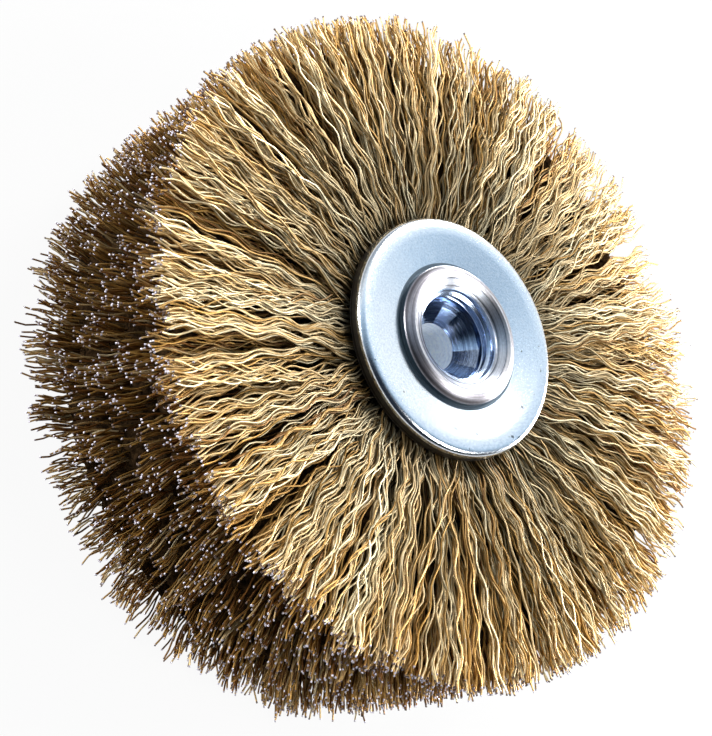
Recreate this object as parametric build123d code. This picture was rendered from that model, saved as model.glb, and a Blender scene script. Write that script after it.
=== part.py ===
from build123d import *
import os
from math import pi, radians, sin, sqrt, tan

# Wide wheel brush of crimped, brass-coated steel wire, in millimetres.
# The axis is Z and the visible flange faces +Z. The origin is on the axis, halfway across the face.

# Brush head
brush_diameter = 100.0
face_width = 37.0
row_count = 6
tufts_per_row = 40
crimps = 4
crimp_height = 0.8
crimp_rise = 0.25
tuft_width = 1.08
tuft_depth = 0.8
root_depth = 0.7
face_swell = 1.5
tip_stagger = 0.8

# Pressed flanges, one cup washer at each end, dished towards the collar
flange_diameter = 36.0
flange_span = 37.0
flange_thickness = 1.2
skirt_depth = 2.4
shoulder_radius = 1.1
skirt_clearance = 0.4
seat_depth = 0.65
seat_slope_width = 5.5
seat_clearance = 0.1

# Turned hub with its front collar, and the ring pressed on its rear end
collar_diameter = 20.8
collar_height = 1.0
collar_wall = 0.2
collar_bevel = 1.35
collar_shoulder = 1.8
tube_diameter = collar_diameter - 2 * collar_shoulder
bore_diameter = 7.2
bore_chamfer = 0.5
rim_width = 0.2
mouth_chamfer_width = 1.8
mouth_diameter = collar_diameter - 2 * (collar_bevel + rim_width + mouth_chamfer_width)
mouth_chamfer_depth = 1.05
counterbore_depth = 1.45
counterbore_step = 0.85
thread_minor_diameter = mouth_diameter - 2 * counterbore_step
thread_end_depth = 3.9
drill_point_angle = 82.0
slide_clearance = 0.1

# Root of a wire row: the wires are folded round a retaining ring
root_clearance = 0.3
fold_thickness = 1.0
ring_thickness = 2.4
ring_width = 1.6
ring_clearance = 0.1
leg_rim = 1.0
tuft_embed = 0.6
leg_margin = 0.15
divider_thickness = 0.8

# Worked-out places
hub_radius = tube_diameter / 2
tip_radius = brush_diameter / 2
flange_radius = flange_diameter / 2
flange_face = flange_span / 2
stack_height = flange_span - 2 * flange_thickness
collar_radius = collar_diameter / 2
rim_radius = collar_radius - collar_bevel
collar_seat = flange_face - seat_depth
collar_edge = flange_face + collar_wall
collar_face = flange_face + collar_height
fold_radius = hub_radius + root_clearance
ring_inner_radius = fold_radius + fold_thickness + ring_clearance
ring_outer_radius = ring_inner_radius + ring_thickness
leg_radius = ring_outer_radius + leg_rim
row_pitch = (stack_height + divider_thickness) / row_count
row_width = row_pitch - divider_thickness
slot_width = ring_width + 2 * ring_clearance
leg_width = (row_width - slot_width) / 2
lip_radius = flange_radius - flange_thickness / 2
lip_level = flange_face - skirt_depth - skirt_clearance


def row_middle(row):
    """Height of the middle of a row at its root, counted from the front."""
    return stack_height / 2 - row_width / 2 - row * row_pitch


def fan_share(radius):
    """How far out a radius lies: 0 at the flange lip and 1 at the tips."""
    return (radius - lip_radius) / (tip_radius - lip_radius)


def half_envelope(radius):
    """Half the width of all rows together, fanned out straight from the flange lips to the tips."""
    return lip_level + fan_share(radius) * (face_width / 2 - lip_level)


def swell(radius):
    """How far the faces of the head swell out beyond the straight fan, between flange lip and tips."""
    return face_swell * sin(pi * fan_share(radius))


def band(row, radius):
    """Lowest and highest level of one row at a radius, from the flange lip outwards."""
    half = half_envelope(radius)
    pitch = (2 * half + divider_thickness) / row_count
    top = half - row * pitch
    bottom = top - pitch + divider_thickness
    if row == 0:
        top += swell(radius)
    if row == row_count - 1:
        bottom -= swell(radius)
    return bottom, top


def diamond(radius, middle, low, high):
    """Four corners of a tuft's section, with a ridge towards each side of the brush."""
    half_width = tuft_width * radius * sin(pi / tufts_per_row)
    centre = (low + high) / 2
    return [(radius, middle, low), (radius, middle + half_width, centre),
            (radius, middle, high), (radius, middle - half_width, centre)]


def leg_section(row, front_leg):
    """Section of a tuft where it leaves its leg of the fold."""
    low = slot_width / 2 if front_leg else -row_width / 2
    low += row_middle(row) + leg_margin
    return diamond(leg_radius - tuft_embed, 0, low, low + leg_width - 2 * leg_margin)


def crimp_section(row, radius, depth, front_leg, sway, rise):
    """Section of a tuft at a crimp, swayed along the circumference and risen along the axis."""
    low, high = band(row, radius)
    if front_leg:
        low = high - depth * (high - low)
    else:
        high = low + depth * (high - low)
    return diamond(radius, sway, low + rise, high + rise)


def tuft(row, front_leg):
    """One crimped tuft of wires, from its leg of the fold to its cut tips.

    One leg's tufts are cut shorter: the rear leg's in the first row, then the legs take turns.
    """
    sections = [leg_section(row, front_leg)]
    if row in (0, row_count - 1):
        sections.append(crimp_section(row, lip_radius, root_depth, front_leg, 0, 0))
    reach = crimp_height + tuft_width * tip_radius * sin(pi / tufts_per_row)
    end_radius = sqrt(tip_radius**2 - reach**2)
    if front_leg == bool(row % 2):
        end_radius -= tip_stagger
    for crimp in range(1, crimps + 1):
        radius = lip_radius + (end_radius - lip_radius) * crimp / crimps
        sign = 1 if (crimp + row) % 2 else -1
        rise = 0 if crimp == crimps else sign * crimp_rise
        sections.append(crimp_section(row, radius, tuft_depth, front_leg, sign * crimp_height, rise))
    triangles = [sections[0][::-1], sections[-1]]
    for inner, outer in zip(sections, sections[1:]):
        for a, b in ((0, 1), (1, 2), (2, 3), (3, 0)):
            triangles.append([inner[a], inner[b], outer[b]])
            triangles.append([inner[a], outer[b], outer[a]])
    return Solid(Shell([Face(Wire.make_polygon(points)) for points in triangles]))


def wire_fold(row):
    """Root of a row, folded round the ring from inside, with a flat side for each pair of tufts."""
    sides = tufts_per_row // 2
    bore = RegularPolygon(fold_radius, sides, major_radius=False)
    bend = RegularPolygon(ring_inner_radius - ring_clearance, sides)
    fold = extrude(RegularPolygon(leg_radius, sides) - bore, row_width / 2, both=True)
    fold -= extrude(Circle(leg_radius) - bend, slot_width / 2, both=True)
    return Pos(0, 0, row_middle(row)) * Rot(0, 0, 180 / sides) * fold


def wire_row(row):
    """One row: tufts alternate between the two legs of the wire fold."""
    pitch = 360 / tufts_per_row
    tufts = []
    for front_leg in (True, False):
        pattern = tuft(row, front_leg)
        for place in range(0 if front_leg else 1, tufts_per_row, 2):
            tufts.append(Rot(0, 0, pitch * place) * pattern)
    return Rot(0, 0, pitch * row / 2) * wire_fold(row).fuse(*tufts)


def ring(inner, outer, bottom, top):
    """Plain round ring."""
    return Pos(0, 0, bottom) * extrude(Circle(outer) - Circle(inner), top - bottom)


def flange():
    """Pressed cup washer with a rounded shoulder, its face dished towards the collar's seat."""
    inner = hub_radius + slide_clearance
    top = flange_face
    bottom = flange_face - skirt_depth
    inside = flange_radius - flange_thickness
    seat_radius = collar_radius + seat_clearance
    section = Polyline(
        (inner, top - flange_thickness),
        (inner, collar_seat),
        (seat_radius, collar_seat),
        (seat_radius + seat_slope_width, top),
        (flange_radius, top),
        (flange_radius, bottom),
        (inside, bottom),
        (inside, top - flange_thickness),
        close=True,
    )
    section = make_face(section)
    shoulder = section.vertices().sort_by_distance((flange_radius, top, 0))[0]
    section = fillet(shoulder, shoulder_radius)
    return revolve(Plane.XZ * section, Axis.Z)


def hub():
    """Turned hub: low collar with a sloping edge, tapped mouth, drill-point cone and through bore."""
    mouth = mouth_diameter / 2
    minor = thread_minor_diameter / 2
    bore = bore_diameter / 2
    cone_depth = (minor - bore) / tan(radians(drill_point_angle / 2))
    chamfer_level = collar_face - mouth_chamfer_depth
    thread_start = collar_face - counterbore_depth
    thread_end = collar_face - thread_end_depth
    rear = -collar_face
    section = Polyline(
        (bore, rear + bore_chamfer),
        (bore + bore_chamfer, rear),
        (hub_radius, rear),
        (hub_radius, collar_seat),
        (collar_radius, collar_seat),
        (collar_radius, collar_edge),
        (rim_radius, collar_face),
        (rim_radius - rim_width, collar_face),
        (mouth, chamfer_level),
        (mouth, thread_start),
        (minor, thread_start),
        (minor, thread_end),
        (bore, thread_end - cone_depth),
        close=True,
    )
    return revolve(Plane.XZ * make_face(section), Axis.Z)


def rear_collar():
    """Ring pressed on the hub's rear end, which holds the stack together."""
    inner = hub_radius + slide_clearance
    section = Polyline(
        (inner, -collar_seat),
        (collar_radius, -collar_seat),
        (collar_radius, -collar_edge),
        (rim_radius, -collar_face),
        (inner, -collar_face),
        close=True,
    )
    return revolve(Plane.XZ * make_face(section), Axis.Z)


def retaining_ring(row):
    """Steel ring inside the fold of a row's wires."""
    middle = row_middle(row)
    return ring(ring_inner_radius, ring_outer_radius, middle - ring_width / 2, middle + ring_width / 2)


def divider(row):
    """Thin washer between a row and the next one behind it."""
    top = row_middle(row) - row_width / 2
    return ring(hub_radius + slide_clearance, leg_radius - tuft_embed, top - divider_thickness, top)


front = flange()
parts = {
    "hub": hub(),
    "rear_collar": rear_collar(),
    "front_flange": front,
    "rear_flange": Rot(180, 0, 0) * front,
}
for row in range(row_count):
    parts[f"wire_row_{row + 1}"] = wire_row(row)
    parts[f"retaining_ring_{row + 1}"] = retaining_ring(row)
for row in range(row_count - 1):
    parts[f"divider_washer_{row + 1}"] = divider(row)

os.makedirs("parts", exist_ok=True)
for name, part in parts.items():
    export_step(part, f"parts/{name}.step")
    print(name, round(part.volume, 1), len(part.faces()))
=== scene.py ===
import logging
from dataclasses import dataclass
from enum import Enum, IntEnum
from math import atan2, cos, pi, radians, sin
from typing import Any, Sequence

import bmesh
import bpy
import numpy as np
from mathutils import Matrix, Quaternion, Vector


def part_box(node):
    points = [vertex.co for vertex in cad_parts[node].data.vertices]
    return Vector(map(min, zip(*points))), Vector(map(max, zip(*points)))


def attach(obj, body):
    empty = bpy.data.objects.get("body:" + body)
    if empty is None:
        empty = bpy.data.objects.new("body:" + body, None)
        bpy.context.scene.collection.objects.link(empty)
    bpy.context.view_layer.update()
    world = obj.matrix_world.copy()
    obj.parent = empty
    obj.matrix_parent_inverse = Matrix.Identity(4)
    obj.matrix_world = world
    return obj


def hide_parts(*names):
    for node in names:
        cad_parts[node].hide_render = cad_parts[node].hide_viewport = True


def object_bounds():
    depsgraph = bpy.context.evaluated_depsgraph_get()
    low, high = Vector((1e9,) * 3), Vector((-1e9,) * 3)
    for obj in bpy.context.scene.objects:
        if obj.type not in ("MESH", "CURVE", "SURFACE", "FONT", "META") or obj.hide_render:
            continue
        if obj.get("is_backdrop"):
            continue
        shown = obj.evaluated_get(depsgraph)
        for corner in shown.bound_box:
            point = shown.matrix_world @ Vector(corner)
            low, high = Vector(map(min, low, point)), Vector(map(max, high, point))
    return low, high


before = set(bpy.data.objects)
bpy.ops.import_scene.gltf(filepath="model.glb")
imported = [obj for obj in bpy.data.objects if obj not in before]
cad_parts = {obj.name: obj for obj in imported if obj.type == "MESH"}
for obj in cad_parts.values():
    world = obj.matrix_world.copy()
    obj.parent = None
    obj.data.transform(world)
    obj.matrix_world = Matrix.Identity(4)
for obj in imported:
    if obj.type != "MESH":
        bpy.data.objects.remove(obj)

Colour = tuple[float, float, float]
Place = tuple[float, float, float]
Range = tuple[float, float]
Pair = tuple[float, float]
Stop = tuple[float, Colour]
Pattern = tuple[float, float]  # scale and detail of a noise
Bump = tuple[float, float]  # share that shows and height in metres
Array = np.ndarray
Material = bpy.types.Material
Object = bpy.types.Object
Socket = bpy.types.NodeSocket

MM = 0.001
ROW_COUNT = 6

# Turned pieces
ROUNDING_SEGMENTS = 5
SMOOTH_ANGLE = 32.0
WELD_DISTANCE = 0.001 * MM

# Sockets of a Mix node that mixes colours
MIX_FIRST, MIX_SECOND, MIX_RESULT = 6, 7, 2

# Radius and level in mm: the wire head's front face, and the room that flanges and box leave it
HEAD_FACE = ((16.0, 15.7), (18.0, 15.75), (22.0, 16.9), (30.0, 18.2), (42.0, 18.7), (50.0, 18.5))
HEAD_LIMIT = ((16.0, 15.75), (18.2, 15.8), (24.0, 18.2), (34.0, 19.2), (50.0, 19.3))

log = logging.getLogger("wire_wheel_brush")


class Slot(Enum):
    """Material slots of the part."""

    WIRE = "brass_coated_wire"
    ZINC = "zinc_plated_steel"
    TURNED = "turned_steel"


class WireSkin(IntEnum):
    """Material numbers on a batch of wires."""

    COAT = 0
    TIP = 1
    PACKED = 2


class FlangeSkin(IntEnum):
    """Material numbers on a flange, after 0 for its plate."""

    SKIRT = 1
    SEAT = 2


class HubSkin(IntEnum):
    """Material numbers on the hub, after 0 for its turned steel."""

    MOUTH = 1
    EDGE = 2
    BORE = 3
    SEAT = 4
    CHAMFER = 5


class Nodes:
    """Nodes of a material or of the world."""

    def __init__(self, tree: bpy.types.NodeTree) -> None:
        """Write into a node tree."""
        self.tree = tree

    def put(self, socket: Socket, value: Any) -> None:
        """Link a socket to an input, or set the input's value.

        Args:
            socket: The input.
            value: Value or socket that it takes.
        """
        if isinstance(value, Socket):
            self.tree.links.new(value, socket)
        else:
            socket.default_value = value

    def feed(self, node: bpy.types.Node, **inputs: Any) -> None:
        """Set or link inputs of a node by their names, with spaces as underscores."""
        for key, value in inputs.items():
            self.put(node.inputs[key.replace("_", " ")], value)

    def add(self, kind: str, **inputs: Any) -> bpy.types.Node:
        """Add a node, and set or link its inputs.

        Args:
            kind: Blender's name of the node type.
            inputs: Values or sockets by input name, with spaces as underscores.

        Returns:
            The new node.
        """
        node = self.tree.nodes.new(kind)
        self.feed(node, **inputs)
        return node

    def maths(self, operation: str, first: Any, second: Any = 0.0) -> Socket:
        """Add a Math node.

        Args:
            operation: Blender's name of the operation.
            first: First value or socket.
            second: Second value or socket.

        Returns:
            The result's socket.
        """
        node = self.tree.nodes.new("ShaderNodeMath")
        node.operation = operation
        self.put(node.inputs[0], first)
        self.put(node.inputs[1], second)
        return node.outputs[0]

    def remap(self, value: Any, low: float, high: float) -> Socket:
        """Spread a value between 0 and 1 over the range from low to high."""
        return self.maths("ADD", self.maths("MULTIPLY", value, high - low), low)

    def ramp(self, value: Any, *stops: Stop) -> Socket:
        """Add a colour ramp.

        Args:
            value: Socket that picks the colour.
            stops: Place and colour of each stop.

        Returns:
            The colour's socket.
        """
        node = self.add("ShaderNodeValToRGB", Fac=value)
        elements = node.color_ramp.elements
        while len(elements) < len(stops):
            elements.new(0.5)
        for element, (place, colour) in zip(elements, stops):
            element.position = place
            element.color = (*colour, 1.0)
        return node.outputs[0]


class Recipe(Nodes):
    """A material's nodes, which end in one Principled shader."""

    def __init__(self, name: str) -> None:
        """Start an empty material.

        Args:
            name: Name of the material.
        """
        self.material = bpy.data.materials.new(name)
        self.material.use_nodes = True
        super().__init__(self.material.node_tree)
        self.tree.nodes.clear()
        self.shader = self.add("ShaderNodeBsdfPrincipled")
        self.output = self.add("ShaderNodeOutputMaterial", Surface=self.shader.outputs[0])

    def surface(self, **inputs: Any) -> None:
        """Set or link inputs of the shader by their names."""
        self.feed(self.shader, **inputs)

    def attribute(self, name: str) -> Socket:
        """Read a number that each vertex carries.

        Args:
            name: The attribute's name.

        Returns:
            The number's socket.
        """
        node = self.tree.nodes.new("ShaderNodeAttribute")
        node.attribute_name = name
        return node.outputs["Fac"]

    def coordinates(self) -> Socket:
        """Read the place on the object."""
        return self.add("ShaderNodeTexCoord").outputs["Object"]

    def noise(self, scale: float, detail: float = 2.0, vector: Any = None) -> Socket:
        """Add a noise pattern on object coordinates.

        Args:
            scale: Waves per metre.
            detail: Octaves of finer noise.
            vector: Socket of another vector, in place of the object coordinates.

        Returns:
            The noise value's socket.
        """
        if vector is None:
            vector = self.coordinates()
        node = self.add("ShaderNodeTexNoise", Vector=vector, Scale=scale, Detail=detail)
        return node.outputs[0]

    def multiply(self, colour: Any, shade: Any) -> Socket:
        """Darken or brighten a colour by a value.

        Args:
            colour: Socket of the colour.
            shade: Socket of the value.

        Returns:
            The shaded colour's socket.
        """
        node = self.add("ShaderNodeVectorMath")
        node.operation = "SCALE"
        self.put(node.inputs[0], colour)
        self.put(node.inputs["Scale"], shade)
        return node.outputs[0]

    def turning_rings(self, scale: float, detail: float) -> Socket:
        """Add fine rings round the axis, as a lathe leaves them on faces and walls.

        Args:
            scale: Rings per metre.
            detail: Octaves of finer rings.

        Returns:
            The ring pattern's socket.
        """
        split = self.add("ShaderNodeSeparateXYZ", Vector=self.coordinates())
        across, along, level = split.outputs
        square = self.maths("ADD", self.maths("POWER", across, 2.0), self.maths("POWER", along, 2.0))
        rings = self.add("ShaderNodeCombineXYZ", X=self.maths("SQRT", square), Z=level)
        return self.noise(scale, detail, rings.outputs[0])

    def bump(self, height: Any, strength: float, distance: float) -> None:
        """Give the shader a bump: its pattern, the share that shows and its height in metres."""
        node = self.add("ShaderNodeBump", Height=height, Strength=strength, Distance=distance)
        self.surface(Normal=node.outputs[0])


@dataclass(frozen=True)
class WireFinish:
    """Brass-coated crimped wire, with a tone of its own on each wire and painted shade towards the root.
    """

    name: str = "brass_coated_wire"
    dark: Colour = (0.20, 0.085, 0.018)
    middle: Colour = (0.56, 0.325, 0.085)
    pale: Colour = (0.88, 0.765, 0.50)
    middle_tone: float = 0.35
    painted_root_shade: Range = (0.30, 1.12)
    patch_scale: float = 900.0
    patch_shade: Range = (0.55, 1.35)
    rough_scale: float = 2500.0
    rough: Range = (0.38, 0.56)
    metal: float = 0.65
    coat: float = 0.04
    coat_rough: float = 0.3

    def make(self) -> Material:
        """Build the material.

        Returns:
            The finished material.
        """
        recipe = Recipe(self.name)
        stops = ((0.0, self.dark), (self.middle_tone, self.middle), (1.0, self.pale))
        colour = recipe.ramp(recipe.attribute("tone"), *stops)
        # Painted shade: wires darken towards their roots, deep in the head
        root = recipe.remap(recipe.attribute("along"), *self.painted_root_shade)
        patches = recipe.remap(recipe.noise(self.patch_scale), *self.patch_shade)
        colour = recipe.multiply(colour, recipe.maths("MULTIPLY", root, patches))
        recipe.surface(Base_Color=colour, Metallic=self.metal)
        recipe.surface(Coat_Weight=self.coat, Coat_Roughness=self.coat_rough)
        recipe.surface(Roughness=recipe.remap(recipe.noise(self.rough_scale), *self.rough))
        return recipe.material


@dataclass(frozen=True)
class CutTipFinish:
    """Bare steel at the cut end of a wire, bright here and dull there; the bright spots' lavender-white
    is painted glint and painted reflection of the pale sky.
    """

    name: str = "cut_wire_tip"
    dull: Colour = (0.16, 0.11, 0.09)
    # Painted glint and painted sky reflection on the bare steel
    bright: Colour = (0.90, 0.87, 1.0)
    spots: Pattern = (700.0, 3.0)
    spot_edge: Range = (0.46, 0.58)
    rough_scale: float = 4000.0
    rough: Range = (0.25, 0.6)
    metal: float = 0.5

    def make(self) -> Material:
        """Build the material.

        Returns:
            The finished material.
        """
        recipe = Recipe(self.name)
        colour = recipe.ramp(recipe.noise(*self.spots), *zip(self.spot_edge, (self.dull, self.bright)))
        recipe.surface(Base_Color=colour, Metallic=self.metal)
        recipe.surface(Roughness=recipe.remap(recipe.noise(self.rough_scale), *self.rough))
        return recipe.material


@dataclass(frozen=True)
class PackedFinish:
    """The inside of a row, where the wires lie too close to be told apart, near black as painted shade.
    """

    name: str = "painted_shade_packed_wire"
    # Painted shade: near-black in place of the shade among the packed wires
    dark: Colour = (0.008, 0.005, 0.003)
    pale: Colour = (0.045, 0.026, 0.012)
    patches: Pattern = (1400.0, 4.0)
    patch_edge: Range = (0.35, 0.7)
    ridges: Pattern = (2200.0, 4.0)
    ridge_bump: Bump = (0.8, 0.4 * MM)
    rough: float = 0.9

    def make(self) -> Material:
        """Build the material.

        Returns:
            The finished material.
        """
        recipe = Recipe(self.name)
        colour = recipe.ramp(recipe.noise(*self.patches), *zip(self.patch_edge, (self.dark, self.pale)))
        recipe.surface(Base_Color=colour, Roughness=self.rough, Specular_IOR_Level=0.0)
        recipe.bump(recipe.noise(*self.ridges), *self.ridge_bump)
        return recipe.material


@dataclass(frozen=True)
class ZincFinish:
    """Bright zinc plate on pressed steel, faintly cloudy, with more pits towards +X."""

    name: str = "zinc_plated_steel"
    dull: Colour = (0.70, 0.78, 0.87)
    bright: Colour = (0.90, 0.95, 1.0)
    clouds: Pattern = (3800.0, 6.0)
    cloud_edge: Range = (0.30, 0.66)
    pits: Pattern = (1150.0, 1.0)
    pit_edge: Range = (0.205, 0.225)
    pit_shade: float = 0.3
    wear_per_metre: float = 4.0
    smears: Pattern = (1800.0, 4.0)
    rough: Range = (0.12, 0.24)
    grain: Pattern = (3600.0, 6.0)
    grain_bump: Bump = (0.5, 0.02 * MM)

    def make(self) -> Material:
        """Build the material.

        Returns:
            The finished material.
        """
        recipe = Recipe(self.name)
        colour = recipe.ramp(recipe.noise(*self.clouds), *zip(self.cloud_edge, (self.dull, self.bright)))
        split = recipe.add("ShaderNodeSeparateXYZ", Vector=recipe.coordinates())
        worn_side = recipe.maths("MULTIPLY", split.outputs[0], self.wear_per_metre)
        pitting = recipe.maths("SUBTRACT", recipe.noise(*self.pits), worn_side)
        pits = recipe.ramp(pitting, *zip(self.pit_edge, ((self.pit_shade,) * 3, (1.0, 1.0, 1.0))))
        recipe.surface(Base_Color=recipe.multiply(colour, pits), Metallic=1.0)
        recipe.surface(Roughness=recipe.remap(recipe.noise(*self.smears), *self.rough))
        recipe.bump(recipe.noise(*self.grain), *self.grain_bump)
        return recipe.material


@dataclass(frozen=True)
class TurnedFinish:
    """Steel as a lathe leaves it, with fine rings round the axis."""

    name: str = "turned_steel"
    dull: Colour = (0.34, 0.33, 0.35)
    bright: Colour = (0.80, 0.80, 0.83)
    rough: Range = (0.2, 0.4)
    metal: float = 1.0
    rings: Pattern = (3200.0, 3.0)
    ring_edge: Range = (0.36, 0.60)
    ring_bump: Bump = (0.7, 0.05 * MM)
    grain: Pattern = (2400.0, 6.0)
    grain_shade: Range = (0.7, 1.3)

    def make(self) -> Material:
        """Build the material.

        Returns:
            The finished material.
        """
        recipe = Recipe(self.name)
        rings = recipe.turning_rings(*self.rings)
        grain = recipe.remap(recipe.noise(*self.grain), *self.grain_shade)
        colour = recipe.ramp(rings, *zip(self.ring_edge, (self.dull, self.bright)))
        recipe.surface(Base_Color=recipe.multiply(colour, grain), Metallic=self.metal)
        recipe.surface(Roughness=recipe.remap(rings, *self.rough))
        recipe.bump(rings, *self.ring_bump)
        return recipe.material


class Dresser:
    """Makes each finish once and hands it out."""

    def __init__(self) -> None:
        """Build all finishes of the brush."""
        self.wire = WireFinish().make()
        self.tip = CutTipFinish().make()
        self.packed = PackedFinish().make()
        self.zinc = ZincFinish().make()
        self.turned = TurnedFinish().make()
        self.mouth = TurnedFinish(
            "tapped_mouth", dull=(0.27, 0.34, 0.48), bright=(0.55, 0.65, 0.82), rough=(0.1, 0.24)).make()
        # Painted shade: the collar's sloping edge is darkened, in place of the dark surroundings that it
        # reflects
        self.edge = TurnedFinish(
            "collar_edge_painted_shade", dull=(0.15, 0.14, 0.15), bright=(0.35, 0.34, 0.38),
            rough=(0.24, 0.42)).make()
        self.chamfer = TurnedFinish(
            "mouth_chamfer", dull=(0.24, 0.26, 0.30), bright=(0.54, 0.57, 0.64),
            rough=(0.2, 0.36)).make()
        # Painted shade: dark navy for the seat round the collar and for the collar's upright wall
        self.seat = TurnedFinish(
            "painted_shade_seat", dull=(0.02, 0.035, 0.05), bright=(0.06, 0.09, 0.12), rough=(0.3, 0.45),
            metal=0.5).make()
        # Painted shade: the flange's skirt under the shoulder is darkened
        self.skirt = TurnedFinish(
            "painted_shade_skirt", dull=(0.05, 0.046, 0.042), bright=(0.20, 0.19, 0.185), rough=(0.3, 0.5)).make()
        # Partly zinc plate, partly painted light: the pale blue-white, non-metal wall shows bright deep
        # in the bore
        self.bore = TurnedFinish(
            "bore_wall", dull=(0.80, 0.87, 0.95), bright=(0.92, 0.96, 1.0), rough=(0.5, 0.6),
            metal=0.0).make()
        self.plain = TurnedFinish(
            "plain_steel", dull=(0.28, 0.28, 0.29), bright=(0.5, 0.5, 0.52), rough=(0.35, 0.55)).make()


@dataclass(frozen=True)
class Corner:
    """One corner of a turned profile, in metres."""

    radius: float
    height: float
    rounding: float = 0.0


def select_corner(obj: Object, corner: Corner) -> None:
    """Select the profile's vertex at a corner, in edit mode.

    Args:
        obj: The profile's object.
        corner: The corner to look for.
    """
    mesh = bmesh.from_edit_mesh(obj.data)
    place = Vector((corner.radius, 0.0, corner.height))
    nearest = min(mesh.verts, key=lambda vertex: (vertex.co - place).length)
    nearest.select = True
    bmesh.update_edit_mesh(obj.data)


def trace(name: str, corners: Sequence[Corner]) -> Object:
    """Draw an open profile beside the axis from corner to corner, and stay in edit mode.

    Args:
        name: Name of the piece.
        corners: The profile's corners in order.

    Returns:
        The profile's object, with its last vertex selected.
    """
    bpy.ops.object.select_all(action="DESELECT")
    bpy.ops.mesh.primitive_plane_add(size=MM)
    obj = bpy.context.object
    obj.name = name
    obj.data.name = name
    bpy.ops.object.mode_set(mode="EDIT")
    bpy.ops.mesh.select_all(action="SELECT")
    bpy.ops.mesh.merge(type="CENTER")
    bpy.ops.transform.translate(value=(corners[0].radius, 0.0, corners[0].height))
    for last, corner in zip(corners, corners[1:]):
        step = (corner.radius - last.radius, 0.0, corner.height - last.height)
        bpy.ops.mesh.extrude_vertices_move(TRANSFORM_OT_translate={"value": step})
    return obj


def close_up(weld_distance: float, smooth_angle: float) -> None:
    """Weld the piece in edit mode, turn its faces outwards, leave edit mode and smooth it.

    Args:
        weld_distance: Vertices nearer than this become one.
        smooth_angle: Edges sharper than this stay sharp, in degrees.
    """
    bpy.ops.mesh.select_all(action="SELECT")
    bpy.ops.mesh.remove_doubles(threshold=weld_distance)
    bpy.ops.mesh.normals_make_consistent(inside=False)
    bpy.ops.object.mode_set(mode="OBJECT")
    bpy.ops.object.shade_smooth_by_angle(angle=radians(smooth_angle))


def turned(name: str, corners: Sequence[Corner], steps: int) -> Object:
    """Turn a closed profile round the axis, as on a lathe.

    Args:
        name: Name of the piece.
        corners: The profile's corners in order.
        steps: Flat sides round the axis.

    Returns:
        The turned piece, at the origin.
    """
    obj = trace(name, corners)
    select_corner(obj, corners[0])
    bpy.ops.mesh.edge_face_add()
    for corner in corners:
        if corner.rounding:
            bpy.ops.mesh.select_all(action="DESELECT")
            select_corner(obj, corner)
            bpy.ops.mesh.bevel(offset=corner.rounding, segments=ROUNDING_SEGMENTS, affect="VERTICES")
    bpy.ops.mesh.select_all(action="SELECT")
    bpy.ops.mesh.spin(steps=steps, angle=2 * pi, center=(0.0, 0.0, 0.0), axis=(0.0, 0.0, 1.0))
    close_up(WELD_DISTANCE, SMOOTH_ANGLE)
    weighted = obj.modifiers.new("flat_faces", "WEIGHTED_NORMAL")
    weighted.keep_sharp = True
    bpy.ops.object.modifier_apply(modifier=weighted.name)
    return obj


def dress(obj: Object, slot: Slot, nodes: Sequence[str],
          *materials: Material) -> None:
    """Give a piece its finish, its body and the nodes that it stands for.

    Args:
        obj: The piece.
        slot: The part's material slot; not used.
        nodes: Names of the CAD nodes that it replaces.
        materials: Materials, in the order of the mesh's material numbers.
    """
    obj.data.materials.clear()
    for material in materials:
        obj.data.materials.append(material)
    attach(obj, "root")
    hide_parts(*nodes)
    triangles = sum(len(face.vertices) - 2 for face in obj.data.polygons)
    log.info("%s: %d triangles", obj.name, triangles)


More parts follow.
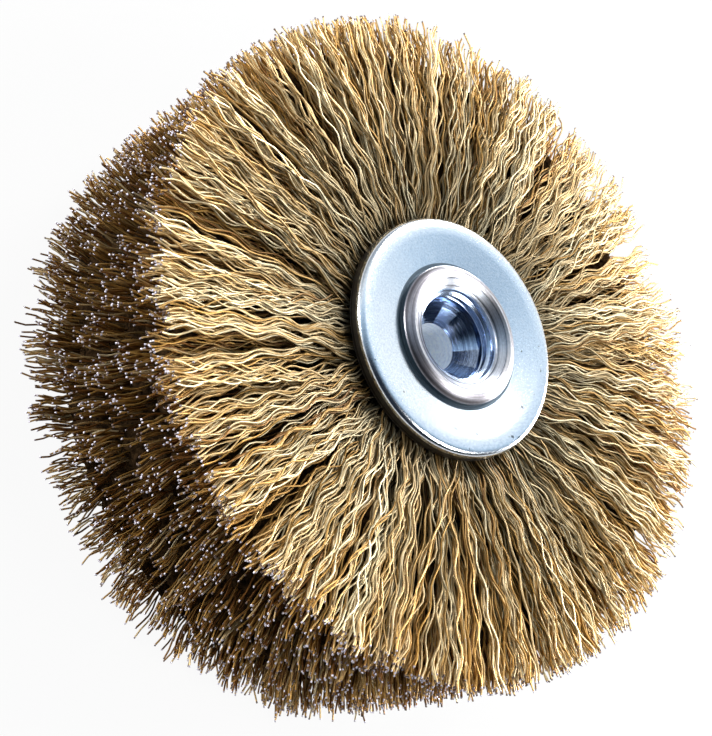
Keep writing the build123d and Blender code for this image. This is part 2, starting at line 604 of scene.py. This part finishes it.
@dataclass
class Flange:
    """Pressed cup washer with a dished face, a rounded shoulder and a short skirt, in metres."""

    node: str
    front: bool
    thickness: float = 1.2 * MM
    hole: float = 8.7 * MM
    seat: float = 10.5 * MM
    seat_depth: float = 0.65 * MM
    seat_rounding: float = 0.1 * MM
    # The painted shade round the collar reaches out to this radius
    painted_shade_edge: float = 11.05 * MM
    painted_shade_margin: float = 0.1 * MM
    dish_edge: float = 16.0 * MM
    dish_rounding: float = 0.8 * MM
    shoulder: float = 0.95 * MM
    lip_rounding: float = 0.15 * MM
    bend_rounding: float = 0.3 * MM
    steps: int = 144

    @property
    def side(self) -> float:
        """1 for the front flange and -1 for the rear one."""
        return 1.0 if self.front else -1.0

    def slope_share(self, radius: float) -> float:
        """Share of the dish's depth at a radius: 1 at the seat and 0 at the dish's edge."""
        return (self.dish_edge - radius) / (self.dish_edge - self.seat)

    def build(self, dresser: Dresser) -> None:
        """Model the flange and dress it.

        Args:
            dresser: Hands out the finishes.
        """
        low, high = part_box(self.node)
        face, lip = (high.z, low.z) if self.front else (low.z, high.z)
        radius = high.x
        back = face - self.side * self.thickness
        seat_level = face - self.side * self.seat_depth
        painted_shade_level = face - self.side * self.seat_depth * self.slope_share(self.painted_shade_edge)
        inside = radius - self.thickness
        corners = [
            Corner(self.hole, back),
            Corner(self.hole, seat_level),
            Corner(self.seat, seat_level, self.seat_rounding),
            Corner(self.painted_shade_edge, painted_shade_level),
            Corner(self.dish_edge, face, self.dish_rounding),
            Corner(radius, face, self.shoulder),
            Corner(radius, lip, self.lip_rounding),
            Corner(inside, lip),
            Corner(inside, back, self.bend_rounding),
        ]
        obj = turned(f"{self.node}_plate", corners, self.steps)
        dress(obj, Slot.ZINC, [self.node], dresser.zinc, dresser.skirt, dresser.seat)
        self.paint(obj, face, radius)

    def paint(self, obj: Object, face: float, radius: float) -> None:
        """Give the skirt and the seat round the collar their dark colours, which are painted shade.

        Args:
            obj: The flange.
            face: Level of its face.
            radius: Its outer radius.
        """
        for polygon in obj.data.polygons:
            at = Vector(polygon.center.xy).length
            depth = self.side * (face - polygon.center.z)
            # Painted shade: the skirt below the shoulder takes the darkened colour
            if at > radius - 0.5 * self.thickness and depth > self.shoulder:
                polygon.material_index = FlangeSkin.SKIRT
            # Painted shade: the seat and dish slope round the collar are dark navy, in place of the
            # collar's shadow and dark reflection
            if at < self.painted_shade_edge and depth < self.thickness - self.painted_shade_margin:
                polygon.material_index = FlangeSkin.SEAT


@dataclass
class Hub:
    """Turned hub with its low collar and tapped mouth, in metres.

    The knee is in shares of bevel and collar height. The lead-in lies inwards and down from the rim,
    and the ridge goes in steps outwards and up.
    """

    bore: float = 3.6 * MM
    bore_chamfer: float = 0.5 * MM
    tube: float = 8.6 * MM
    tube_rounding: float = 0.2 * MM
    seat_depth: float = 0.65 * MM
    collar_height: float = 1.0 * MM
    collar_wall: float = 0.2 * MM
    wall_rounding: float = 0.2 * MM
    bevel: float = 1.35 * MM
    bevel_knee: Pair = (0.6, 0.78)
    knee_rounding: float = 0.25 * MM
    rim: float = 0.2 * MM
    rim_rounding: float = 0.06 * MM
    lead_in: tuple[Pair, ...] = ((0.12 * MM, 0.1 * MM), (0.4 * MM, 0.16 * MM))
    mouth: float = 7.05 * MM
    mouth_chamfer: float = 1.05 * MM
    mouth_rounding: float = 0.08 * MM
    counterbore: float = 1.25 * MM
    thread_major: float = 6.9 * MM
    thread_minor: float = 6.2 * MM
    thread_end: float = 3.9 * MM
    pitch: float = 1.0 * MM
    thread_turns: int = 2
    thread_steps: int = 96
    run_out: float = 0.02 * MM
    ridge_foot: float = 0.05 * MM
    ridge_steps: tuple[Pair, ...] = ((-0.6 * MM, 0.26 * MM), (0.0, 0.1 * MM), (0.6 * MM, 0.26 * MM))
    ridge_backing: float = 0.12 * MM
    ridge_weld: float = 0.0001 * MM
    ridge_smooth_angle: float = 50.0
    cone_depth: float = 2.991 * MM
    flats: int = 12
    flat_lift: float = 0.2 * MM
    flat_turn: float = 2.4
    near: float = 0.01 * MM
    bore_margin: float = 0.05 * MM
    mouth_margin: float = 0.02 * MM
    edge_start: float = 9.1 * MM
    chamfer_end: float = 8.55 * MM
    steps: int = 144

    def build(self, dresser: Dresser) -> None:
        """Model the hub with its thread and dress both.

        Args:
            dresser: Hands out the finishes.
        """
        low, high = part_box("hub")
        top = high.z
        collar = high.x
        obj = turned("hub_body", self.profile(low.z, top, collar), self.steps)
        self.facet_cone(obj, top - self.thread_end)
        dress(obj, Slot.TURNED, ["hub"], dresser.turned, dresser.mouth, dresser.edge, dresser.bore,
              dresser.seat, dresser.chamfer)
        self.paint(obj, top)
        dress(self.thread_ridge(top), Slot.TURNED, ["hub"], dresser.mouth)

    def profile(self, rear: float, top: float, collar: float) -> list[Corner]:
        """List the corners of the hub's section.

        Args:
            rear: Level of its rear end.
            top: Level of the collar's face.
            collar: Radius of the collar.

        Returns:
            The corners, from the bore's rear end round the outside and down the mouth.
        """
        face = top - self.collar_height
        seat = face - self.seat_depth
        rim_edge = collar - self.bevel
        rim_inside = rim_edge - self.rim
        inset, rise = self.bevel_knee
        knee = (collar - inset * self.bevel, face + rise * self.collar_height)
        lead_in = [Corner(rim_inside - inward, top - down) for inward, down in self.lead_in]
        return [
            Corner(self.bore, rear + self.bore_chamfer),
            Corner(self.bore + self.bore_chamfer, rear),
            Corner(self.tube, rear, self.tube_rounding),
            Corner(self.tube, seat),
            Corner(collar, seat),
            Corner(collar, face + self.collar_wall, self.wall_rounding),
            Corner(*knee, self.knee_rounding),
            Corner(rim_edge, top, self.rim_rounding),
            Corner(rim_inside, top, self.rim_rounding),
            *lead_in,
            Corner(self.mouth, top - self.mouth_chamfer, self.mouth_rounding),
            Corner(self.mouth, top - self.counterbore),
            Corner(self.thread_major, top - self.counterbore),
            Corner(self.thread_major, top - self.thread_end),
            Corner(self.thread_minor, top - self.thread_end),
            Corner(self.bore, top - self.thread_end - self.cone_depth),
        ]

    def paint(self, obj: Object, top: float) -> None:
        """Give the mouth, its chamfer, the collar's edge and the bore their own materials; the collar's
        edge and upright wall are darkened as painted shade.

        Args:
            obj: The hub.
            top: Level of the collar's face.
        """
        face = top - self.collar_height
        cone_end = top - self.thread_end - self.cone_depth
        for polygon in obj.data.polygons:
            level = polygon.center.z
            radius = Vector(polygon.center.xy).length
            if radius < self.bore + self.bore_margin and level < cone_end:
                polygon.material_index = HubSkin.BORE
            elif level > cone_end and radius < self.mouth - self.mouth_margin:
                polygon.material_index = HubSkin.MOUTH
            elif level > face - self.seat_depth and radius > self.edge_start:
                # Painted shade: the upright wall takes the dark seat colour and the sloping band the
                # darkened edge colour
                upright = level < face + 0.5 * self.collar_wall
                polygon.material_index = HubSkin.SEAT if upright else HubSkin.EDGE
            elif level > top - self.mouth_chamfer and radius < self.chamfer_end:
                polygon.material_index = HubSkin.CHAMFER

    def facet_cone(self, obj: Object, start: float) -> None:
        """Flatten the drilled cone into the shallow flats that a chattering drill leaves.

        Args:
            obj: The hub.
            start: Level of the cone's wide end.
        """
        span = 2 * pi / self.flats
        for vertex in obj.data.vertices:
            place = vertex.co
            radius = Vector(place.xy).length
            if abs(place.z - start) < self.near and abs(radius - self.thread_minor) < self.near:
                bearing = atan2(place.y, place.x)
                turn = bearing % span - span / 2
                number = int((bearing % (2 * pi)) / span)
                lift = self.flat_lift * sin(number * self.flat_turn) * cos(turn * pi / span)
                share = cos(span / 2) / cos(turn)
                vertex.co = (place.x * share, place.y * share, start + lift)
        for polygon in obj.data.polygons:
            radius = Vector(polygon.center.xy).length
            on_cone = start - self.cone_depth < polygon.center.z < start
            if on_cone and self.bore < radius < self.thread_minor:
                polygon.use_smooth = False

    def thread_ridge(self, top: float) -> Object:
        """Wind the thread's ridge up the mouth's wall.

        Args:
            top: Level of the collar's face.

        Returns:
            The ridge.
        """
        corners = [Corner(self.thread_major + self.ridge_foot, top - self.thread_end + self.run_out)]
        for out, up in self.ridge_steps:
            corners.append(Corner(corners[-1].radius + out, corners[-1].height + up))
        obj = trace("mouth_thread", corners)
        bpy.ops.object.mode_set(mode="OBJECT")
        screw = obj.modifiers.new("winding", "SCREW")
        screw.screw_offset = self.pitch
        screw.iterations = self.thread_turns
        screw.steps = self.thread_steps
        screw.render_steps = self.thread_steps
        bpy.ops.object.modifier_apply(modifier=screw.name)
        solid = obj.modifiers.new("backing", "SOLIDIFY")
        solid.thickness = self.ridge_backing
        bpy.ops.object.modifier_apply(modifier=solid.name)
        bpy.ops.object.mode_set(mode="EDIT")
        close_up(self.ridge_weld, self.ridge_smooth_angle)
        return obj


@dataclass
class RearCollar:
    """Ring pressed on the hub's rear end, in metres."""

    bore: float = 8.7 * MM
    wall: float = 0.85 * MM
    wall_rounding: float = 0.15 * MM
    bevel: float = 1.35 * MM
    rim_rounding: float = 0.1 * MM
    steps: int = 96

    def build(self, dresser: Dresser) -> None:
        """Model the ring and dress it.

        Args:
            dresser: Hands out the finishes.
        """
        low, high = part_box("rear_collar")
        corners = [
            Corner(self.bore, low.z),
            Corner(high.x - self.bevel, low.z, self.rim_rounding),
            Corner(high.x, high.z - self.wall, self.wall_rounding),
            Corner(high.x, high.z),
            Corner(self.bore, high.z),
        ]
        ring = turned("rear_collar_ring", corners, self.steps)
        dress(ring, Slot.TURNED, ["rear_collar"], dresser.turned)


def level_on(profile: Sequence[Pair], radius: Any) -> Any:
    """Read a profile's level at some radii, all in millimetres."""
    radii, levels = zip(*profile)
    return np.interp(radius, radii, levels)


@dataclass(frozen=True)
class Scatter:
    """How far locks and wires differ from each other. Lengths are in millimetres."""

    lock_place: float = 0.45
    lock_lean: float = 0.14
    lock_bend: float = 0.9
    lock_length: Range = (0.9, 1.12)
    lock_reach: float = 0.45
    lock_rise: float = 0.35
    lock_tone: float = 0.12
    depth: float = 0.03
    aside: float = 0.55
    above: float = 0.4
    lean: float = 0.025
    phase: float = 0.28
    length: Range = (0.97, 1.03)
    height: Range = (0.75, 1.2)
    plane: float = 0.6
    reach: float = 0.5
    stray_share: float = 0.05
    stray_lean: float = 0.28
    stray_tilt: float = 0.8
    stray_reach: float = 0.9
    short_share: float = 0.04
    short_cut: Range = (1.0, 6.0)


@dataclass(frozen=True)
class Strands:
    """What is drawn at random for each wire. Plane is the crimps' turn out of the circumference."""

    angle: Array
    depth: Array
    aside: Array
    above: Array
    lean: Array
    bend: Array
    rise: Array
    phase: Array
    length: Array
    height: Array
    plane: Array
    reach: Array
    root_shift: Array
    tone: Array


@dataclass
class Skin:
    """Mesh of a batch: vertices in millimetres, faces, and what the materials read."""

    vertices: Array
    quads: Array
    ends: Array
    quad_skin: Array
    tone: Array
    along: Array


@dataclass
class WireBatch:
    """Crimped wires of one row, gathered in locks, in millimetres.

    Between packed depths, if given, a ring stands for the wires behind.
    """

    name: str
    row: int
    wires: int
    segments: int
    seed: int
    shallow: float = 0.0
    deep: float = 1.0
    root: float = 16.6
    locks: int = 300
    scatter: Scatter = Scatter()
    wire_radius: float = 0.155
    crimp_length: float = 7.0
    crimp_height: float = 0.50
    tip_length: float = 0.24
    root_scatter: float = 2.2
    lip: float = 17.0
    tip_circle: float = 50.0
    full_reach: float = 49.4
    reach_limits: Range = (42.0, 51.3)
    half_side: float = 49.7
    spread_curve: tuple[float, float, float] = (0.45, 0.1, 0.6)
    gather_end: float = 0.5
    fade_start: float = 17.2
    fade_length: float = 4.0
    fade_least: float = 0.15
    tone: float = 0.67
    tone_spread: float = 0.2
    painted_depth_shade: float = 0.62
    packed: Range | None = None
    core: float = 14.0
    packed_middle: float = 28.0
    packed_shoulder: float = 42.0
    packed_edge: float = 45.4
    packed_bevel: float = 0.3
    packed_columns: int = 300
    ridge_out: float = 0.6
    ridge_up: float = 0.25

    def row_level(self, radius: Any, depth: Any) -> Any:
        """Level at a radius and a depth of the row: depth is 0 at its front and 1 at its rear."""
        front = level_on(HEAD_FACE, radius)
        return front * (1.0 - 2.0 * (self.row + depth) / ROW_COUNT)

    def strands(self) -> Strands:
        """Draw the differences, by lock and then by wire.

        Returns:
            What was drawn.
        """
        random = np.random.default_rng(self.seed)
        by, count, locks = self.scatter, self.wires, self.locks
        lock = random.integers(0, locks, count)
        lock_place = np.arange(locks) + random.uniform(-by.lock_place, by.lock_place, locks)
        lock_depth = random.uniform(self.shallow, self.deep, locks)
        lock_lean = random.normal(0.0, by.lock_lean, locks)
        lock_bend = random.normal(0.0, by.lock_bend, locks)
        lock_phase = random.uniform(0.0, 2 * pi, locks)
        lock_length = self.crimp_length * random.uniform(*by.lock_length, locks)
        lock_reach = random.normal(0.0, by.lock_reach, locks)
        lock_rise = random.normal(0.0, by.lock_rise, locks)
        lock_tone = random.normal(0.0, by.lock_tone, locks)

        depth = np.clip(lock_depth[lock] + random.normal(0.0, by.depth, count), self.shallow, self.deep)
        aside = random.normal(0.0, by.aside, count)
        above = random.normal(0.0, by.above, count)
        lean = lock_lean[lock] + random.normal(0.0, by.lean, count)
        stray = random.random(count) < by.stray_share
        lean = lean + stray * random.normal(0.0, by.stray_lean, count)
        tilt = stray * random.normal(0.0, by.stray_tilt, count)
        phase = lock_phase[lock] + random.normal(0.0, by.phase, count)
        length = lock_length[lock] * random.uniform(*by.length, count)
        height = self.crimp_height * random.uniform(*by.height, count)
        plane = random.normal(0.0, by.plane, count)
        reach = self.full_reach + lock_reach[lock] + random.normal(0.0, by.reach, count)
        reach = reach + by.stray_reach * stray
        short = random.random(count) < by.short_share
        reach = np.clip(reach - short * random.uniform(*by.short_cut, count), *self.reach_limits)
        root_shift = random.uniform(-1.0, 1.0, count) * self.root_scatter
        # Painted shade: the tone falls with the wire's depth in its row, so deeper wires are darker
        shade = self.tone - self.painted_depth_shade * depth
        tone = np.clip(shade + lock_tone[lock] + random.normal(0.0, self.tone_spread, count), 0.0, 1.0)
        drawn = (2 * pi * lock_place[lock] / locks, depth, aside, above, lean, lock_bend[lock],
                 lock_rise[lock] + tilt, phase, length, height, plane, reach, root_shift, tone)
        return Strands(*(values[:, None] for values in drawn))

    def paths(self, strands: Strands) -> tuple[Array, Array]:
        """Lay the wires' centre lines.

        Args:
            strands: What was drawn for each wire.

        Returns:
            Points, and the place along the wire from 0 to 1, by wire and ring.
        """
        even = np.linspace(0.0, 1.0, self.segments)
        body = self.root + (strands.reach - self.tip_length - self.root) * even
        radius = np.concatenate([body, strands.reach], axis=1)
        free = np.clip((radius - self.lip) / (self.tip_circle - self.lip), 0.0, 1.0)
        least, linear, square = self.spread_curve
        spread = least + linear * free + square * free**2
        gather = (1.0 - np.clip(free / self.gather_end, 0.0, 1.0))**2
        fade = np.clip((radius - self.fade_start) / self.fade_length, self.fade_least, 1.0)
        wave = strands.height * fade * np.sin(2 * pi * radius / strands.length + strands.phase)
        across = (strands.root_shift * gather + strands.lean * (radius - self.lip)
                  + strands.bend * free**2 + strands.aside * spread + wave * np.cos(strands.plane))
        level = (self.row_level(radius, strands.depth) + strands.above * spread * free
                 + strands.rise * free + wave * np.sin(strands.plane) * free)
        turn = strands.angle + across / radius
        limit = level_on(HEAD_LIMIT, radius)
        level = np.clip(level, -limit, limit)
        # Wires that would pass a square of this half side are drawn in, to stay in the solids' box
        room = self.half_side / np.maximum(np.abs(np.cos(turn)), np.abs(np.sin(turn)))
        radius = radius * np.minimum(1.0, room[:, -1:] / radius[:, -1:])
        points = np.stack([radius * np.cos(turn), radius * np.sin(turn), level], axis=2)
        # The place along the wire, from root to tip, drives the painted shade towards the root
        return points, np.clip((radius - self.root) / (self.tip_circle - self.root), 0.0, 1.0)

    def tubes(self) -> Skin:
        """Draw three-sided tubes round the centre lines.

        Returns:
            The wires' mesh.
        """
        strands = self.strands()
        points, along = self.paths(strands)
        count, rings = points.shape[:2]
        heading = np.gradient(points, axis=1)
        heading /= np.linalg.norm(heading, axis=2, keepdims=True)
        side = np.cross(np.array([0.0, 0.0, 1.0]), heading)
        side /= np.linalg.norm(side, axis=2, keepdims=True)
        other = np.cross(heading, side)
        start = np.random.default_rng(self.seed + 50).uniform(0.0, 2 * pi, count)
        corners = []
        for corner in range(3):
            turn = start + 2 * pi * corner / 3
            offset = side * np.cos(turn)[:, None, None] + other * np.sin(turn)[:, None, None]
            corners.append(points + self.wire_radius * offset)
        vertices = np.stack(corners, axis=2).reshape(-1, 3)
        number = np.arange(count * rings * 3).reshape(count, rings, 3)
        following = np.roll(number, -1, axis=2)
        sides = np.stack([number[:, :-1], following[:, :-1], following[:, 1:], number[:, 1:]], axis=3)
        ends = np.concatenate([number[:, 0, ::-1], number[:, -1]])
        side_skin = np.full(sides.shape[:3], WireSkin.COAT, dtype=np.int32)
        side_skin[:, -1] = WireSkin.TIP
        return Skin(vertices, sides.reshape(-1, 4), ends, side_skin.ravel(),
                    np.broadcast_to(strands.tone[:, :, None], number.shape).ravel(),
                    np.broadcast_to(along[:, :, None], number.shape).ravel())

    def packed_ring(self) -> tuple[Array, Array]:
        """Shape the row's packed inner wires as one ridged ring between two depths.

        Returns:
            Vertices in millimetres and four-cornered faces.
        """
        random = np.random.default_rng(self.seed + 90)
        columns = self.packed_columns
        turn = 2 * pi * np.arange(columns) / columns
        near, far = self.packed
        front = [(self.core, 1.0), (self.packed_middle, 1.0), (self.packed_shoulder, 1.0),
                 (self.packed_edge, 1.0 - self.packed_bevel)]
        profile = front + [(radius, 1.0 - share) for radius, share in reversed(front)]
        loops = []
        for radius, share in profile:
            ridge = random.uniform(-1.0, 1.0, columns)
            out = self.ridge_out if radius > self.packed_middle else 0.0
            at = radius + out * ridge
            level = self.row_level(radius, share * near + (1.0 - share) * far) + self.ridge_up * ridge
            loops.append(np.stack([at * np.cos(turn), at * np.sin(turn), level], axis=1))
        vertices = np.stack(loops, axis=1).reshape(-1, 3)
        number = np.arange(columns * len(profile)).reshape(columns, len(profile))
        across = np.roll(number, -1, axis=1)
        ahead = np.roll(number, -1, axis=0)
        both = np.roll(across, -1, axis=0)
        return vertices, np.stack([number, across, both, ahead], axis=2).reshape(-1, 4)

    def add_packed_ring(self, skin: Skin) -> None:
        """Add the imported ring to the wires' mesh.

        Args:
            skin: The mesh that takes the ring.
        """
        vertices, quads = self.packed_ring()
        ring_skin = np.full(len(quads), WireSkin.PACKED, dtype=np.int32)
        skin.quads = np.concatenate([skin.quads, quads + len(skin.vertices)])
        skin.quad_skin = np.concatenate([skin.quad_skin, ring_skin])
        skin.vertices = np.concatenate([skin.vertices, vertices])
        skin.tone = np.pad(skin.tone, (0, len(vertices)))
        skin.along = np.pad(skin.along, (0, len(vertices)))

    def mesh(self, skin: Skin) -> bpy.types.Mesh:
        """Write the batch's mesh.

        Args:
            skin: What it is made of.

        Returns:
            The mesh.
        """
        quads, ends = skin.quads, skin.ends
        mesh = bpy.data.meshes.new(self.name)
        mesh.vertices.add(len(skin.vertices))
        mesh.vertices.foreach_set("co", (skin.vertices * MM).astype(np.float32).ravel())
        mesh.loops.add(quads.size + ends.size)
        loops = np.concatenate([quads.ravel(), ends.ravel()])
        mesh.loops.foreach_set("vertex_index", loops.astype(np.int32))
        starts = np.concatenate([np.arange(len(quads)) * 4, quads.size + np.arange(len(ends)) * 3])
        mesh.polygons.add(len(starts))
        mesh.polygons.foreach_set("loop_start", starts.astype(np.int32))
        mesh.polygons.foreach_set("use_smooth", np.arange(len(starts)) < len(quads))
        mesh.update(calc_edges=True)
        for label, values in (("tone", skin.tone), ("along", skin.along)):
            attribute = mesh.attributes.new(label, "FLOAT", "POINT")
            attribute.data.foreach_set("value", values.astype(np.float32))
        return mesh

    def build(self, dresser: Dresser) -> None:
        """Make the batch and dress it.

        Args:
            dresser: Hands out the finishes.
        """
        skin = self.tubes()
        if self.packed:
            self.add_packed_ring(skin)
        obj = bpy.data.objects.new(self.name, self.mesh(skin))
        bpy.context.collection.objects.link(obj)
        dress(obj, Slot.WIRE, [f"wire_row_{self.row + 1}"], dresser.wire, dresser.tip, dresser.packed)
        end_skin = np.full(len(skin.ends), WireSkin.TIP, dtype=np.int32)
        obj.data.polygons.foreach_set("material_index", np.concatenate([skin.quad_skin, end_skin]))


def wire_batches() -> list[WireBatch]:
    """List the batches of wires, from the front row to the rear one.

    Returns:
        The batches.
    """
    last = ROW_COUNT - 1
    # Painted shade: the inner rows and the rear row take lower tones than the face wires
    short_wires = {"segments": 7, "root": 42.0, "crimp_height": 0.30, "tone": 0.24, "tone_spread": 0.26,
                   "painted_depth_shade": 0.0}
    batches = [
        WireBatch("front_row_face_wires", 0, wires=1050, segments=30, seed=11, deep=0.28, locks=175),
        WireBatch("front_row_middle_wires", 0, wires=1050, segments=26, seed=12, shallow=0.15, deep=0.58,
                  locks=175),
        WireBatch("front_row_back_wires", 0, wires=1000, segments=18, seed=13, shallow=0.5, root=20.0,
                  locks=175, packed=(0.7, 0.97), core=26.0),
    ]
    for row in range(1, last):
        batches.append(WireBatch(f"wires_of_row_{row + 1}", row, wires=1350, seed=20 + row, locks=320,
                                 packed=(0.05, 0.95), **short_wires))
    batches.append(WireBatch("rear_row_wires", last, wires=950, segments=22, seed=31, locks=200,
                             tone=0.30, tone_spread=0.26, painted_depth_shade=-0.35, packed=(0.05, 0.45),
                             core=26.0))
    batches.append(WireBatch("rear_row_short_wires", last, wires=900, seed=32, locks=260, **short_wires))
    return batches


def dress_inner_steel(dresser: Dresser) -> None:
    """Give the hidden rings and washers their steel.

    Args:
        dresser: Hands out the finishes.
    """
    for name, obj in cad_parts.items():
        if name.startswith(("retaining_ring", "divider_washer")):
            for place in range(len(obj.data.materials)):
                obj.data.materials[place] = dresser.plain


@dataclass(frozen=True)
class Lamp:
    """Soft square lamp that faces the brush, in metres and watts."""

    name: str
    place: Place
    size: float
    power: float
    colour: Colour

    def hang(self) -> None:
        """Hang the lamp in its place."""
        data = bpy.data.lights.new(self.name, "AREA")
        data.size = self.size
        data.energy = self.power
        data.color = self.colour
        lamp = bpy.data.objects.new(self.name, data)
        bpy.context.collection.objects.link(lamp)
        lamp.location = self.place
        lamp.rotation_euler = (-Vector(self.place)).to_track_quat("-Z", "Y").to_euler()


LAMPS = (
    Lamp("key_lamp", (-0.24, 0.46, 0.36), 0.26, 5.3, (1.0, 0.985, 0.96)),
    Lamp("side_lamp", (0.13, 0.24, 0.075), 0.12, 1.3, (1.0, 0.98, 0.95)),
    Lamp("high_lamp", (0.30, 0.14, 0.48), 0.20, 2.0, (1.0, 0.99, 0.96)),
    Lamp("front_lamp", (-0.42, -0.38, 0.08), 0.18, 3.0, (1.0, 0.97, 0.93)),
)


@dataclass(frozen=True)
class Studio:
    """Floor, surroundings, lamps and camera, in metres and degrees."""

    floor_level: float
    floor_size: float = 6.0
    floor_colour: Colour = (0.5, 0.5, 0.5)
    floor_rough: float = 0.9
    floor_glow: float = 0.94
    window: Place = (-0.80, 0.47, -0.36)
    window_stops: tuple[Stop, ...] = (
        (0.275, (0.010, 0.016, 0.028)), (0.45, (0.30, 0.41, 0.53)), (0.50, (0.50, 0.67, 0.84)),
        (0.59, (0.94, 0.98, 1.0)), (0.75, (0.35, 0.38, 0.42)))
    overhead: Place = (0.0, 0.0, 1.0)
    backdrop_stops: tuple[Stop, ...] = ((0.58, (1.0, 1.0, 1.0)), (0.66, (0.0, 0.0, 0.0)))
    eye: Place = (0.0, -0.15406, 0.16853)
    aim: Place = (-0.0018, -0.00432, 0.0)
    roll: float = 65.47
    lens: float = 73.37

    def build(self) -> None:
        """Set up the whole studio."""
        self.floor()
        self.world()
        for lamp in LAMPS:
            lamp.hang()
        self.camera()

    def floor(self) -> None:
        """Lay the pale floor, which shows white to the camera and in the metal, with a soft shadow."""
        bpy.ops.object.select_all(action="DESELECT")
        bpy.ops.mesh.primitive_plane_add(size=self.floor_size, location=(0.0, 0.0, self.floor_level))
        floor = bpy.context.object
        floor.name = "studio_floor"
        recipe = Recipe("studio_floor")
        recipe.surface(Base_Color=(*self.floor_colour, 1.0), Roughness=self.floor_rough)
        glow = recipe.add("ShaderNodeEmission", Strength=1.0)
        path = recipe.add("ShaderNodeLightPath")
        seen = recipe.maths("MAXIMUM", path.outputs["Is Camera Ray"], path.outputs["Is Glossy Ray"])
        seen = recipe.maths("MAXIMUM", seen, path.outputs["Is Transmission Ray"])
        mix = recipe.add("ShaderNodeMixShader", Fac=recipe.maths("MULTIPLY", seen, self.floor_glow))
        recipe.put(mix.inputs[1], recipe.shader.outputs[0])
        recipe.put(mix.inputs[2], glow.outputs[0])
        recipe.feed(recipe.output, Surface=mix.outputs[0])
        floor.data.materials.append(recipe.material)
        floor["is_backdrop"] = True

    def world(self) -> None:
        """Colour the surroundings: a pale window behind the brush, dark overhead, white low down."""
        world = bpy.data.worlds.new("studio_world")
        bpy.context.scene.world = world
        world.use_nodes = True
        nodes = Nodes(world.node_tree)
        mix = nodes.add("ShaderNodeMix", Factor=1.0)
        mix.data_type = "RGBA"
        mix.blend_type = "LIGHTEN"
        nodes.put(mix.inputs[MIX_FIRST], self.towards(nodes, self.window, self.window_stops))
        nodes.put(mix.inputs[MIX_SECOND], self.towards(nodes, self.overhead, self.backdrop_stops))
        background = world.node_tree.nodes["Background"]
        nodes.feed(background, Color=mix.outputs[MIX_RESULT], Strength=1.0)

    def towards(self, nodes: Nodes, way: Place, stops: Sequence[Stop]) -> Socket:
        """Colour the surroundings by how near a direction lies to a given one.

        Args:
            nodes: The world's nodes.
            way: The direction, one long.
            stops: Place of each stop, from 0 for the opposite direction to 1, and its colour.

        Returns:
            The colour's socket.
        """
        dot = nodes.add("ShaderNodeVectorMath")
        dot.operation = "DOT_PRODUCT"
        nodes.put(dot.inputs[0], nodes.add("ShaderNodeTexCoord").outputs["Generated"])
        nodes.put(dot.inputs[1], way)
        return nodes.ramp(nodes.remap(dot.outputs["Value"], 0.5, 1.0), *stops)

    def camera(self) -> None:
        """Set the camera at the photograph's viewing angle."""
        data = bpy.data.cameras.new("camera")
        data.lens = self.lens
        camera = bpy.data.objects.new("camera", data)
        bpy.context.collection.objects.link(camera)
        view = Vector(self.aim) - Vector(self.eye)
        level = view.to_track_quat("-Z", "Y")
        turn = level @ Quaternion((0.0, 0.0, 1.0), radians(self.roll))
        camera.matrix_world = Matrix.Translation(self.eye) @ turn.to_matrix().to_4x4()
        bpy.context.scene.camera = camera


def main() -> None:
    """Build the brush and its studio."""
    logging.basicConfig(level=logging.INFO, format="%(name)s %(message)s")
    cad_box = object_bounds()
    bpy.context.scene.view_settings.view_transform = "Standard"
    dresser = Dresser()
    dress_inner_steel(dresser)
    Flange("front_flange", True).build(dresser)
    Flange("rear_flange", False).build(dresser)
    Hub().build(dresser)
    RearCollar().build(dresser)
    for batch in wire_batches():
        batch.build(dresser)
    Studio(cad_box[0].z).build()


if __name__ == "__main__":
    main()
